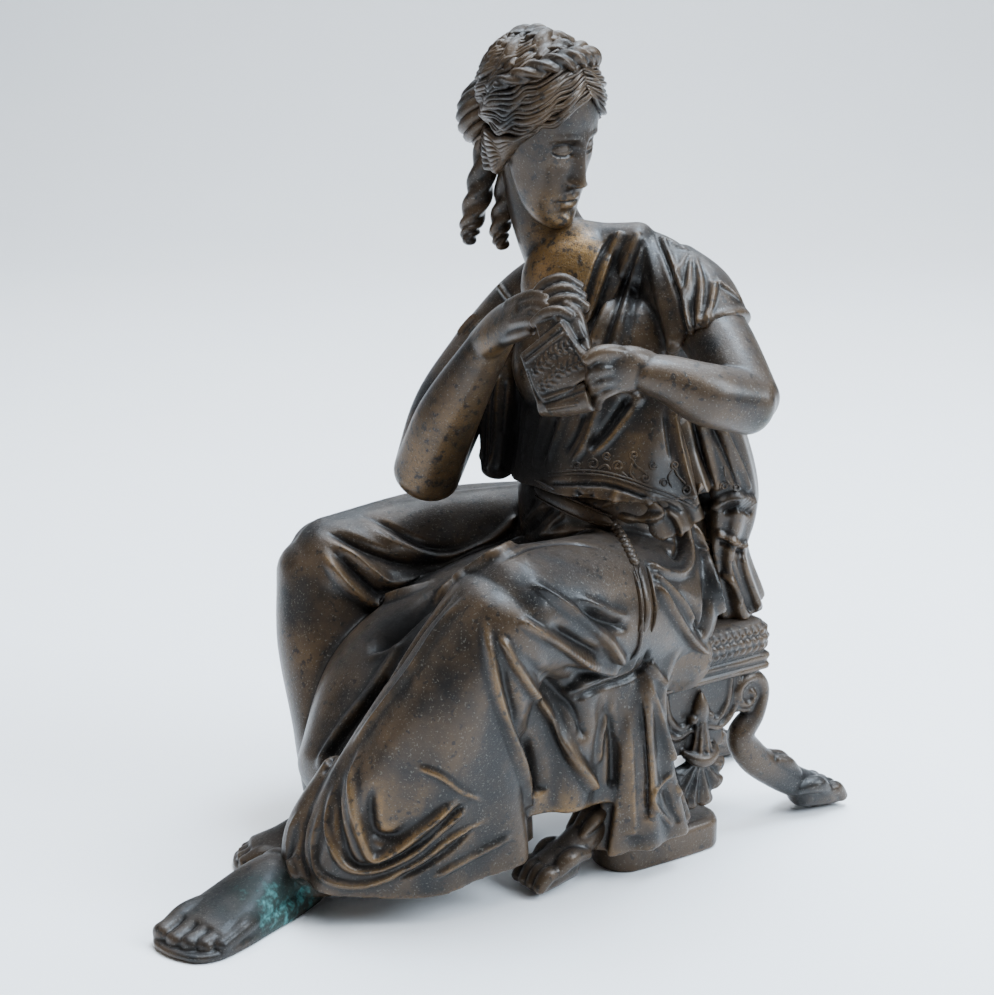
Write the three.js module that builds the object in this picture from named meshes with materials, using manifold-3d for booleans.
// A spelter statuette: a draped woman seated on a low stool with lion-paw feet,
// one elbow on the raised knee, both hands folding a piece of embroidered cloth.
// Millimetres, +Z up. The front, -Y, is the side that the statuette is shown from.
import * as THREE from "three";
import { mergeVertices } from "three/addons/utils/BufferGeometryUtils.js";
import Module from "manifold-3d";

const wasm = await Module();
wasm.setup();

// Driving dimensions. POSE holds the figure's joints, measured on the standing statuette.
const JOINT_GAP = 0.3;
const POSE = {
  skull: [17, 8, 308],
  neckRoot: [31, 14, 246],
  chest: [44, 13, 214],
  waist: [45, 13, 154],
  pelvis: [56, 23, 104],
  shoulderR: [-4, 38, 208],
  elbowR: [-30, 10, 160],
  wristR: [0, -16, 226],
  shoulderL: [80, -6, 238],
  elbowL: [100, -48, 205],
  wristL: [57, -64, 221],
  hipR: [34, 44, 114],
  kneeR: [-72, 20, 113],
  hipL: [63, -6, 108],
  kneeL: [4, -74, 126],
};
const HEAD = { yaw: 50, pitch: 17, roll: -4, scale: 1.14 };
const STOOL = { place: [82, -16, 0], turn: 35, halfLength: 40, width: 70, pawReach: 86 };
const SEAT = { railBottom: 74, railTop: 82, cushionTop: 97 };
const BLOCK = { halfLength: 28, halfWidth: 15, corner: 9, height: 14, middle: [-13, 2] };
const SCROLL = { centre: [31, 61], inner: 2, outer: 9, turns: 1.1, steps: 8 };
const ORNAMENT_FACE = -4;
const DRAPE_PLANE = -11.5;

// The eye that the drapery was drawn from: a point in front of the statuette and above it.
const EYE = { distance: 1000, elevation: 16, height: 152, pixelsPerMm: 2.364, sheet: [497, 497.5] };

const UP = new THREE.Vector3(0, 0, 1);
const RIGHT = new THREE.Vector3(1, 0, 0);
const BACK = new THREE.Vector3(0, 1, 0);
const ACROSS = new THREE.Vector3(0.8, -0.6, 0);
const rad = THREE.MathUtils.degToRad;

// A closed form: an ellipse carried along a smooth path, with a rounded or flat cap at each end.
// A station is [x, y, z, half-size along side, half-size across it]. swell scales the ellipse and
// rise lifts it, both by the angle round it and the place t along the path. A cap is a share of the
// smaller half-size, and CAP is the ring between the end and its tip: how far out, and how wide.
const CAP = { ahead: 0.75, shrink: 0.62 };

function sweep(
  stations,
  { side = UP, around = 8, along = 6, caps = [0.7, 0.7], swell, rise } = {},
) {
  const places = stations.map(([x, y, z]) => new THREE.Vector3(x, y, z));
  const sizes = stations.map(([, , , a, b]) => new THREE.Vector3(a, b ?? a, 0));
  const spine = new THREE.CatmullRomCurve3(places);
  const girth = new THREE.CatmullRomCurve3(sizes);
  const points = [];
  const reach = (t, cap) => {
    const size = girth.getPoint(t);
    return cap * Math.min(size.x, size.y);
  };
  const addRing = (t, ahead, shrink) => {
    const tangent = spine.getTangent(t);
    const size = girth.getPoint(t);
    const centre = spine.getPoint(t).addScaledVector(tangent, ahead);
    const wide = side.clone().addScaledVector(tangent, -side.dot(tangent)).normalize();
    const deep = new THREE.Vector3().crossVectors(tangent, wide);
    for (let j = 0; j < around; j++) {
      const angle = (2 * Math.PI * j) / around;
      const scale = shrink * (swell ? swell(angle, t) : 1);
      const point = centre.clone().addScaledVector(wide, size.x * scale * Math.cos(angle));
      point.addScaledVector(deep, size.y * scale * Math.sin(angle));
      points.push(point.addScaledVector(UP, rise ? shrink * rise(angle, t) : 0));
    }
  };
  const tip = (t, ahead) => spine.getPoint(t).addScaledVector(spine.getTangent(t), ahead);

  if (caps[0]) addRing(0, -CAP.ahead * reach(0, caps[0]), CAP.shrink);
  for (let i = 0; i <= along; i++) addRing(i / along, 0, 1);
  if (caps[1]) addRing(1, CAP.ahead * reach(1, caps[1]), CAP.shrink);
  const top = points.length - around;
  const first = points.push(tip(0, -reach(0, caps[0]))) - 1;
  const last = points.push(tip(1, reach(1, caps[1]))) - 1;

  const index = [];
  for (let j = 0; j < around; j++) {
    const next = (j + 1) % around;
    index.push(first, next, j, last, top + j, top + next);
    for (let i = 0; i < top; i += around) {
      index.push(i + j, i + next, i + around + next, i + j, i + around + next, i + around + j);
    }
  }
  const geometry = new THREE.BufferGeometry().setFromPoints(points);
  geometry.setIndex(index);
  return geometry;
}

function ellipsoid([x, y, z], [a, b, c], around = 8, along = 6) {
  const geometry = new THREE.SphereGeometry(1, around, along).rotateX(Math.PI / 2);
  return geometry.scale(a, b, c).translate(x, y, z);
}

// Solids and the joining and cutting of them.
function solid(geometry) {
  const bare = geometry.index ? geometry.toNonIndexed() : geometry.clone();
  bare.deleteAttribute("normal");
  bare.deleteAttribute("uv");
  const merged = mergeVertices(bare, 1e-4);
  return new wasm.Manifold(
    new wasm.Mesh({
      numProp: 3,
      vertProperties: merged.attributes.position.array,
      triVerts: new Uint32Array(merged.index.array),
    }),
  );
}

// The largest closed body of a solid: pockets that joining seals off inside are filled.
const wholeBody = (shape) => shape.decompose().reduce((a, b) => (a.volume() > b.volume() ? a : b));

const unite = (geometries) => geometries.map(solid).reduce((whole, piece) => whole.add(piece));

function geometryOf(manifold) {
  const mesh = manifold.getMesh();
  const geometry = new THREE.BufferGeometry();
  geometry.setAttribute("position", new THREE.BufferAttribute(mesh.vertProperties, 3));
  geometry.setIndex(new THREE.BufferAttribute(mesh.triVerts, 1));
  return geometry;
}

const placed = (geometries, matrix) => geometries.map((geometry) => geometry.applyMatrix4(matrix));

// The trunk, with the tunic's overfold that hangs to just below the waist.
function trunk() {
  return [
    sweep(
      [
        [...POSE.pelvis, 44, 38],
        [53, 21, 128, 42, 36],
        [...POSE.waist, 36, 29],
        [43, 12, 186, 38, 28],
        [...POSE.chest, 40, 26],
        [43, 17, 234, 32, 20],
      ],
      { side: ACROSS, around: 12, along: 5, caps: [0, 0.7] },
    ),
    sweep(
      [
        [...POSE.shoulderR, 15],
        [16, 28, 232, 15],
        [40, 15, 249, 14],
        [62, 4, 251, 14],
        [...POSE.shoulderL, 15],
      ],
      { around: 8, along: 6 },
    ),
    sweep(
      [
        [27, 10, 258, 13],
        [43, 8, 257, 11],
        [59, 3, 257, 10],
      ],
      { around: 8, along: 2 },
    ),
    ellipsoid([57, -9, 214], [20, 16, 21]),
    ellipsoid([27, 5, 209], [20, 15, 20]),
    sweep(
      [
        [44, 11, 200, 38, 29],
        [46, 7, 178, 40, 32],
        [49, 4, 160, 45, 37],
      ],
      {
        side: ACROSS,
        around: 16,
        along: 2,
        caps: [0, 0],
        swell: (angle, t) => 1 + 0.04 * t * Math.cos(8 * angle),
        rise: (angle, t) => -6 * t * Math.cos(angle),
      },
    ),
  ];
}

// The mantle: from the left shoulder down behind the arm, and down the back to the cushion.
function mantle() {
  const pleats = (angle, t) => 1 + 0.1 * t * Math.cos(5 * angle + 1);
  return [
    sweep(
      [
        [76, 2, 240, 9, 12],
        [87, 9, 196, 12, 19],
        [98, 14, 150, 14, 21],
        [96, 16, 126, 12, 19],
        [103, 20, 97, 14, 19],
      ],
      { side: RIGHT, around: 12, along: 5, caps: [0.4, 0], swell: pleats },
    ),
    sweep(
      [
        [47, 20, 248, 22, 10],
        [50, 25, 222, 33, 15],
        [54, 30, 180, 34, 17],
        [60, 36, 135, 37, 21],
        [68, 40, 97, 43, 26],
      ],
      { side: ACROSS, around: 12, along: 4, caps: [0.6, 0], swell: pleats },
    ),
  ];
}

// The skirt: a form over each leg, the lap between them, and the cloth that hangs free.
function skirt() {
  const hanging = (angle, t) => 1 + 0.16 * Math.min(1, 2 * t) * Math.cos(6 * angle + 0.6);
  return [
    sweep(
      [
        [...POSE.hipR, 30, 34],
        [-24, 36, 114, 27, 30],
        [...POSE.kneeR, 24, 24],
      ],
      { side: BACK, around: 12, along: 4, caps: [0.4, 0.8] },
    ),
    sweep(
      [
        [...POSE.kneeR, 22, 24],
        [-73, 12, 86, 22, 23],
        [-69, -4, 54, 20, 20],
        [-68, -26, 32, 16, 15],
      ],
      { side: BACK, around: 10, along: 5, caps: [0.8, 0.6] },
    ),
    sweep(
      [
        [...POSE.hipL, 34, 33],
        [36, -42, 117, 30, 30],
        [...POSE.kneeL, 25, 26],
      ],
      { side: ACROSS, around: 12, along: 4 },
    ),
    sweep(
      [
        [...POSE.kneeL, 24, 25],
        [-14, -78, 92, 29, 24],
        [-28, -78, 54, 40, 22],
        [-38, -76, 17, 47, 20],
      ],
      {
        side: new THREE.Vector3(1, 0.25, 0),
        around: 20,
        along: 4,
        caps: [0.6, 0],
        swell: (angle, t) => 1 + 0.1 * t * Math.cos(7 * angle + 2 * t),
        rise: (angle, t) => t * t * (6.5 * Math.cos(angle) ** 2 + 10.5 * Math.cos(angle) - 3),
      },
    ),
    sweep(
      [
        [30, -48, 112, 34, 20],
        [30, -52, 76, 31, 15],
        [29, -53, 36, 28, 12],
      ],
      {
        side: new THREE.Vector3(0.85, 0.5, 0),
        around: 16,
        along: 3,
        caps: [0.3, 0],
        swell: hanging,
      },
    ),
    sweep(
      [
        [62, -25, 112, 24, 20],
        [58, -42, 78, 12, 11],
        [60, -43, 44, 15, 11],
        [62, -41, 8, 23, 11],
      ],
      { side: new THREE.Vector3(0.85, 0.5, 0), around: 16, along: 3, caps: [0.2, 0], swell: hanging },
    ),
    sweep(
      [
        [44, 14, 112, 34, 26],
        [-8, -6, 98, 34, 26],
        [-44, -22, 76, 32, 26],
        [-60, -42, 44, 26, 24],
      ],
      { side: new THREE.Vector3(0.5, -0.8, 0), around: 8, along: 4 },
    ),
  ];
}

// The arms, bare below short sleeves.
function arms() {
  return [
    sweep(
      [
        [...POSE.shoulderR, 16],
        [-20, 27, 184, 16],
        [...POSE.elbowR, 14.5],
      ],
      { along: 4 },
    ),
    sweep(
      [
        [...POSE.elbowR, 14.5],
        [-21, 0, 186, 13.5],
        [-8, -10, 212, 10],
        [...POSE.wristR, 8, 9],
      ],
      { side: RIGHT, along: 4 },
    ),
    sweep(
      [
        [4, 34, 212, 12, 18],
        [2, 25, 186, 10, 17],
        [0, 15, 161, 7, 14],
      ],
      { side: RIGHT, along: 3 },
    ),
    sweep(
      [
        [...POSE.shoulderL, 15],
        [90, -26, 224, 14.5],
        [...POSE.elbowL, 13],
      ],
      { along: 4 },
    ),
    sweep(
      [
        [...POSE.elbowL, 13],
        [82, -59, 211, 12.5],
        [67, -63, 218, 9.5],
        [...POSE.wristL, 7.5, 8.5],
      ],
      { along: 4 },
    ),
    sweep(
      [
        [70, 0, 248, 15],
        [81, -11, 238, 17.5],
        [86, -18, 227, 18],
      ],
      { around: 10, along: 3, caps: [0.4, 0], swell: (angle) => 1 + 0.05 * Math.cos(5 * angle) },
    ),
  ];
}

// A hand: a flat form from the wrist to the curled fingertips, with a groove between the fingers,
// and a thumb.
function hand({ wrist, knuckles, spread, curl, tips, thumb }) {
  const fingers = sweep(
    [
      [...wrist, 8.5, 6.5],
      [...knuckles, 11, 5.5],
      [...curl, 11, 4.5],
      [...tips, 9, 3.5],
    ],
    {
      side: spread,
      around: 10,
      along: 4,
      swell: (angle, t) => 1 + 0.12 * Math.max(0, t - 0.3) * Math.cos(5 * angle),
    },
  );
  const [root, middle, end] = thumb;
  const thumbStations = [
    [...root, 4],
    [...middle, 3.6],
    [...end, 3],
  ];
  return [fingers, sweep(thumbStations, { around: 5, along: 2 })];
}

function hands() {
  return [
    ...hand({
      wrist: POSE.wristR,
      knuckles: [17, -36, 240],
      spread: new THREE.Vector3(0.35, 0.25, 0.9).normalize(),
      curl: [27, -50, 243],
      tips: [33, -53, 236],
      thumb: [
        [8, -30, 232],
        [16, -46, 230],
        [25, -56, 230],
      ],
    }),
    ...hand({
      wrist: POSE.wristL,
      knuckles: [44, -68, 216],
      spread: new THREE.Vector3(0.3, 0, 0.95).normalize(),
      curl: [34, -72, 211],
      tips: [30, -64, 209],
      thumb: [
        [52, -68, 226],
        [44, -74, 228],
        [36, -74, 226],
      ],
    }),
  ];
}

// The embroidered cloth between the hands: bunched above, open below, one end rolled.
function heldCloth() {
  return [
    sweep(
      [
        [30, -42, 254, 8, 5],
        [27, -50, 244, 9, 5.5],
        [21, -58, 232, 12, 6],
        [23, -64, 218, 14, 6],
        [29, -64, 206, 12, 6],
      ],
      {
        side: new THREE.Vector3(0.85, 0.1, 0.5),
        around: 10,
        along: 5,
        caps: [0.4, 0.3],
        swell: (angle, t) => 1 + 0.1 * Math.cos(5 * angle + 3 * t),
      },
    ),
    sweep(
      [
        [20, -62, 205, 5.4],
        [40, -66, 203, 6.4],
      ],
      { around: 8, along: 2, caps: [0, 0] },
    ),
  ];
}

// The head, in its own frame: +X to its left, -Y to the face. The face is a plain classical one,
// and the hair is combed back in locks from the brow to a knot behind.
function head() {
  const locks = (angle) => 1 + 0.05 * Math.cos(7 * angle);
  return [
    sweep(
      [
        [0, -4, 14, 17, 15],
        [0, -6, -4, 17, 15],
        [0, -11, -19, 12, 11],
        [0, -14, -27, 7, 7],
      ],
      { side: RIGHT, around: 10, along: 4, caps: [0, 0.7] },
    ),
    sweep(
      [
        [0, -19, 1, 2.2],
        [0, -22, -6, 2.6],
        [0, -24.5, -12.5, 3.2],
      ],
      { side: RIGHT, around: 5, along: 2 },
    ),
    ellipsoid([0, -20, -20.5], [5.5, 2.6, 2.6], 6, 4),
    sweep(
      [
        [0, -15, 21, 13, 9],
        [0, -8, 16, 20.5, 17],
        [0, 6, 11, 22.5, 21.5],
        [0, 19, 4, 19, 18],
        [0, 27, -4, 12, 13],
      ],
      { side: RIGHT, around: 14, along: 4, swell: locks },
    ),
    sweep(
      [
        [0, 20, -6, 10, 10],
        [0, 26, -8, 14, 15],
        [0, 32, -10, 10, 11],
      ],
      { side: RIGHT, around: 10, along: 2, swell: (angle) => 1 + 0.07 * Math.cos(5 * angle) },
    ),
    sweep(
      [
        [-18, -4, 25, 4.5],
        [0, -10, 31, 5],
        [18, -4, 25, 4.5],
      ],
      { around: 6, along: 4 },
    ),
  ];
}

// Two ringlets fall from the knot of hair to the shoulder.
function ringlets() {
  const fall = { side: RIGHT, around: 5, along: 3 };
  return [
    sweep(
      [
        [-3, 24, 302, 5],
        [-7, 25, 280, 5.5],
        [-11, 24, 264, 4.5],
        [-12, 22, 258, 3],
      ],
      fall,
    ),
    sweep(
      [
        [5, 22, 300, 5],
        [4, 23, 276, 5],
        [1, 22, 262, 4],
        [2, 21, 256, 3],
      ],
      fall,
    ),
  ];
}

function headAndNeck() {
  const turn = new THREE.Euler(rad(HEAD.pitch), rad(HEAD.roll), rad(HEAD.yaw), "ZXY");
  const seat = new THREE.Matrix4().compose(
    new THREE.Vector3(...POSE.skull),
    new THREE.Quaternion().setFromEuler(turn),
    new THREE.Vector3().setScalar(HEAD.scale),
  );
  const neck = sweep(
    [
      [17, 12, 290, 15],
      [21, 12, 266, 14.5],
      [...POSE.neckRoot, 18],
    ],
    { along: 3, caps: [0, 0] },
  );
  return [neck, ...placed(head(), seat), ...ringlets()];
}

// A sandalled foot, in its own frame: heel at the origin, toes along +X, sole on Z = 0.
function foot(length, width) {
  const toes = [0, 1, 2, 3, 4].map((k) => {
    const across = width * (0.36 - 0.18 * k);
    const tip = length * (0.97 - 0.012 * k * k);
    const thick = width * (0.1 - 0.006 * k);
    const stations = [
      [length * 0.66, across * 0.9, 8, thick],
      [tip - thick, across, 5, thick],
    ];
    return sweep(stations, { around: 5, along: 1, caps: [0, 0.7] });
  });
  const outline = new THREE.Shape();
  outline.moveTo(-3, 0);
  outline.bezierCurveTo(-3, -width * 0.36, length * 0.3, -width * 0.34, length * 0.6, -width * 0.5);
  outline.bezierCurveTo(length * 0.9, -width * 0.6, length, -width * 0.2, length, width * 0.2);
  outline.bezierCurveTo(length, width * 0.58, length * 0.8, width * 0.5, length * 0.6, width * 0.45);
  outline.bezierCurveTo(length * 0.3, width * 0.34, -3, width * 0.36, -3, 0);
  const sole = new THREE.ExtrudeGeometry(outline, { depth: 3, bevelEnabled: false, curveSegments: 4 });
  const instep = sweep(
    [
      [length * 0.1, 0, 11, width * 0.3, 10],
      [length * 0.32, 0, 12, width * 0.36, 11],
      [length * 0.6, 0, 8, width * 0.44, 6.5],
      [length * 0.76, 0, 6, width * 0.44, 5],
    ],
    { side: BACK, around: 8, along: 3, caps: [0.5, 0.5] },
  );
  return [sole, instep, ...toes];
}

function feet() {
  const stand = ([x, y, z], heading, tip) =>
    new THREE.Matrix4()
      .makeRotationFromEuler(new THREE.Euler(0, rad(tip), rad(heading), "ZYX"))
      .setPosition(x, y, z);
  const ankle = sweep(
    [
      [-52, -74, 70, 14],
      [-70, -66, 34, 10.5],
      [-77, -63, 14, 10.5],
    ],
    { along: 3, caps: [0, 0.4] },
  );
  const left = placed(foot(86, 35), stand([-75, -58, 0], 231, 0));
  const right = placed(foot(52, 26), stand([-62, -30, 0], 191, 0));
  return [ankle, ...left, ...right];
}

// Main folds, traced on the drawing as seen from the eye: pixel points, half-width and height in mm.
const FOLDS = {
  kneeCrest: { line: [[492, 620], [497, 700], [511, 770], [525, 822]], width: 6, height: 6 },
  secondCrest: { line: [[520, 630], [556, 716], [585, 764], [606, 796]], width: 6, height: 6 },
  lapSwagUpper: { line: [[352, 516], [410, 546], [470, 546], [520, 516]], width: 5, height: 5 },
  lapSwagLower: { line: [[312, 540], [340, 580], [378, 600], [420, 590]], width: 5, height: 5 },
  belt: { line: [[545, 486], [592, 510], [632, 545], [650, 600], [656, 640]], width: 5, height: 4 },
  underKnee: { line: [[560, 590], [600, 630], [646, 652]], width: 5, height: 5 },
  shoulderFoldA: { line: [[640, 236], [618, 300], [596, 356]], width: 4, height: 5 },
  shoulderFoldB: { line: [[656, 240], [690, 320], [704, 410]], width: 4, height: 5 },
};

// The sight line from the eye through a point of the drawing.
function sightLine([u, v]) {
  const tilt = rad(EYE.elevation);
  const forward = new THREE.Vector3(0, Math.cos(tilt), -Math.sin(tilt));
  const upward = new THREE.Vector3(0, Math.sin(tilt), Math.cos(tilt));
  const origin = new THREE.Vector3(0, 0, EYE.height).addScaledVector(forward, -EYE.distance);
  const direction = forward
    .multiplyScalar(EYE.distance)
    .addScaledVector(RIGHT, (u - EYE.sheet[0]) / EYE.pixelsPerMm)
    .addScaledVector(upward, (EYE.sheet[1] - v) / EYE.pixelsPerMm);
  return new THREE.Raycaster(origin, direction.normalize());
}

// Each fold is a half-sunk ridge, laid where its sight lines meet the bare form.
function foldsOn(form) {
  const body = new THREE.Mesh(geometryOf(form));
  const facing = new THREE.Vector3(0, -1, 0.3).normalize();
  return Object.values(FOLDS).map(({ line, width, height }) => {
    const trace = new THREE.SplineCurve(line.map(([u, v]) => new THREE.Vector2(u, v)));
    const landed = trace
      .getSpacedPoints(7)
      .map((point) => sightLine([point.x, point.y]).intersectObject(body)[0])
      .filter(Boolean);
    const stations = landed.map(({ point }, k) => {
      const taper = 0.4 + 0.6 * Math.sin((Math.PI * (k + 0.5)) / landed.length);
      point.addScaledVector(facing, -0.3 * height);
      return [point.x, point.y, point.z, height * taper, width * taper];
    });
    return sweep(stations, { side: facing, around: 4, along: 4 });
  });
}

// The stool, in its own frame: +X to the back, the ornamented side on Y = 0, the far side beyond it.
// A leg is a scroll below the rail that turns out into a lion's paw; grow is a clearance round it.
function lionLeg(hand, y, grow = 0) {
  const reach = STOOL.pawReach;
  const { centre, inner, outer, turns, steps } = SCROLL;
  const volute = Array.from({ length: steps + 1 }, (_, k) => {
    const share = k / steps;
    const angle = 2 * Math.PI * turns * (1 - share);
    const radius = inner + (outer - inner) * share;
    const place = [centre[0] + radius * Math.cos(angle), y, centre[1] + radius * Math.sin(angle)];
    return [...place, 4.5, 1.6 + 2.4 * share];
  });
  const scroll = sweep(
    [
      ...volute,
      [37, y, 49, 6, 5],
      [29, y, 38, 6.5, 6.5],
      [38, y, 27, 7, 7],
      [57, y, 16, 7.5, 7],
      [reach - 10, y, 8, 8, 6.5],
    ].map(([x, py, z, a, b]) => [x * hand, py, z, a + grow, b + grow]),
    { side: BACK, around: 5, along: 15, caps: [0, 0] },
  );
  const paw = sweep(
    [
      [reach - 18, y, 9, 8.5, 7],
      [reach - 7, y, 7.4, 10, 6.6],
      [reach - 1, y, 3.6, 9, 3.6],
    ].map(([x, py, z, a, b]) => [x * hand, py, z, a + grow, b + grow]),
    { side: BACK, around: 10, along: 2, swell: (angle, t) => 1 + 0.1 * t * Math.cos(5 * angle) },
  );
  return [scroll, paw];
}

// The drop on the ornamented side: a bud, a fluted bell, a crescent and a palmette fan.
function ornament() {
  const face = ORNAMENT_FACE;
  const fan = new THREE.Shape();
  fan.moveTo(0, 42);
  const petals = 7;
  const spread = rad(150);
  for (let k = 0; k <= 2 * petals; k++) {
    const angle = spread * (k / (2 * petals) - 0.5);
    const radius = k % 2 ? 27 : 23;
    fan.lineTo(radius * Math.sin(angle), 40 - radius * Math.cos(angle));
  }
  const palmette = new THREE.ExtrudeGeometry(fan, { depth: 5, bevelEnabled: false });
  palmette.rotateX(Math.PI / 2).translate(0, face + 2.5, 0);
  const bellProfile = [
    [0, 0],
    [7, 0],
    [5, 4],
    [3, 14],
    [2, 20],
    [0, 20],
  ].map(([r, z]) => new THREE.Vector2(r, z));
  const bell = new THREE.LatheGeometry(bellProfile, 7).rotateX(Math.PI / 2).translate(0, face, 40);
  const tendrils = [-1, 1].flatMap((hand) => [
    ellipsoid([6 * hand, face, 59], [2.6, 2.4, 2.6], 6, 4),
    sweep(
      [
        [6 * hand, face + 2, 58, 2.4],
        [15 * hand, face + 2, 55, 2.6],
        [22 * hand, face + 3, 62, 2.4],
      ],
      { around: 5, along: 3 },
    ),
  ]);
  return [
    bell,
    palmette,
    ...tendrils,
    sweep(
      [
        [0, face, 58, 3],
        [0, face, 64, 4, 3],
        [0, face, 71, 1.2],
      ],
      { side: RIGHT, around: 5, along: 2 },
    ),
    sweep(
      [
        [-11, face, 46, 2.2],
        [0, face - 2, 40, 3],
        [11, face, 46, 2.2],
      ],
      { around: 5, along: 4 },
    ),
  ];
}

function roundedSlab({ halfLength, halfWidth, corner, bottom, top, middle: [x, y], bevel = 1.2 }) {
  const shape = new THREE.Shape();
  shape.moveTo(-halfLength + corner, -halfWidth);
  shape.lineTo(halfLength - corner, -halfWidth);
  shape.quadraticCurveTo(halfLength, -halfWidth, halfLength, -halfWidth + corner);
  shape.lineTo(halfLength, halfWidth - corner);
  shape.quadraticCurveTo(halfLength, halfWidth, halfLength - corner, halfWidth);
  shape.lineTo(-halfLength + corner, halfWidth);
  shape.quadraticCurveTo(-halfLength, halfWidth, -halfLength, halfWidth - corner);
  shape.lineTo(-halfLength, -halfWidth + corner);
  shape.quadraticCurveTo(-halfLength, -halfWidth, -halfLength + corner, -halfWidth);
  const slab = new THREE.ExtrudeGeometry(shape, {
    depth: top - bottom - 2 * bevel,
    bevelSize: bevel,
    bevelThickness: bevel,
    bevelOffset: -bevel,
    bevelSegments: 1,
    curveSegments: 2,
  });
  return slab.translate(x, y, bottom + bevel);
}

const supportBlock = (grow) =>
  roundedSlab({
    halfLength: BLOCK.halfLength + grow,
    halfWidth: BLOCK.halfWidth + grow,
    corner: BLOCK.corner,
    bottom: -grow,
    top: BLOCK.height + grow,
    middle: BLOCK.middle,
  });

function stoolPieces() {
  const { halfLength, width } = STOOL;
  const middle = [0, width / 2];
  const legs = [0, width].flatMap((y) => [...lionLeg(1, y), ...lionLeg(-1, y)]);
  const panels = [0, width].map((y) =>
    roundedSlab({
      halfLength: 27,
      halfWidth: 2.4,
      corner: 1,
      bottom: 48,
      top: SEAT.railBottom + 2,
      middle: [0, y],
      bevel: 0.6,
    }),
  );
  const rail = roundedSlab({
    halfLength: halfLength + 2,
    halfWidth: width / 2 + 6,
    corner: 4,
    bottom: SEAT.railBottom,
    top: SEAT.railTop,
    middle,
  });
  const cushion = roundedSlab({
    halfLength: halfLength + 3,
    halfWidth: width / 2 + 7,
    corner: 10,
    bottom: SEAT.railTop - 0.5,
    top: SEAT.cushionTop,
    middle,
    bevel: 4,
  });
  return [rail, cushion, supportBlock(0), ...legs, ...panels, ...ornament()];
}

// The room that the figure leaves for the stool: all of the seat and what is below it, the block and
// the two front legs, with a small gap round each.
function stoolRoom() {
  const { halfLength, width } = STOOL;
  const front = DRAPE_PLANE - JOINT_GAP;
  const size = [2 * halfLength + 8, width + 10 - front, SEAT.cushionTop + JOINT_GAP + 1];
  const seat = new THREE.BoxGeometry(...size).translate(0, front + size[1] / 2, size[2] / 2 - 1);
  const frontLegs = [0, width].flatMap((y) => lionLeg(-1, y, JOINT_GAP));
  return [seat, supportBlock(JOINT_GAP), ...frontLegs];
}

const METALNESS = 0.85;
const metal = (color, roughness) =>
  new THREE.MeshStandardMaterial({ color, roughness, metalness: METALNESS });

function buildStatuette() {
  const stoolPlace = new THREE.Matrix4().makeRotationZ(rad(STOOL.turn)).setPosition(...STOOL.place);
  const stool = unite(placed(stoolPieces(), stoolPlace));

  const cloth = [...trunk(), ...mantle(), ...skirt(), ...heldCloth()];
  const draped = unite([...cloth, ...arms(), ...hands(), ...headAndNeck()]);
  const folded = foldsOn(draped)
    .map(solid)
    .reduce((whole, fold) => whole.add(fold), draped.add(unite(feet())));
  const figure = wholeBody(folded.subtract(unite(placed(stoolRoom(), stoolPlace))));

  const group = new THREE.Group();
  const nodes = { figure: [figure, 0x3a3128, 0.42], stool: [stool, 0x3c3a38, 0.46] };
  for (const [name, [shape, color, roughness]] of Object.entries(nodes)) {
    const mesh = new THREE.Mesh(geometryOf(shape), metal(color, roughness));
    mesh.name = name;
    group.add(mesh);
  }
  const box = new THREE.Box3().setFromObject(group);
  const middle = box.getCenter(new THREE.Vector3());
  group.position.set(-middle.x, -middle.y, -box.min.z);
  return group;
}

export default buildStatuette();
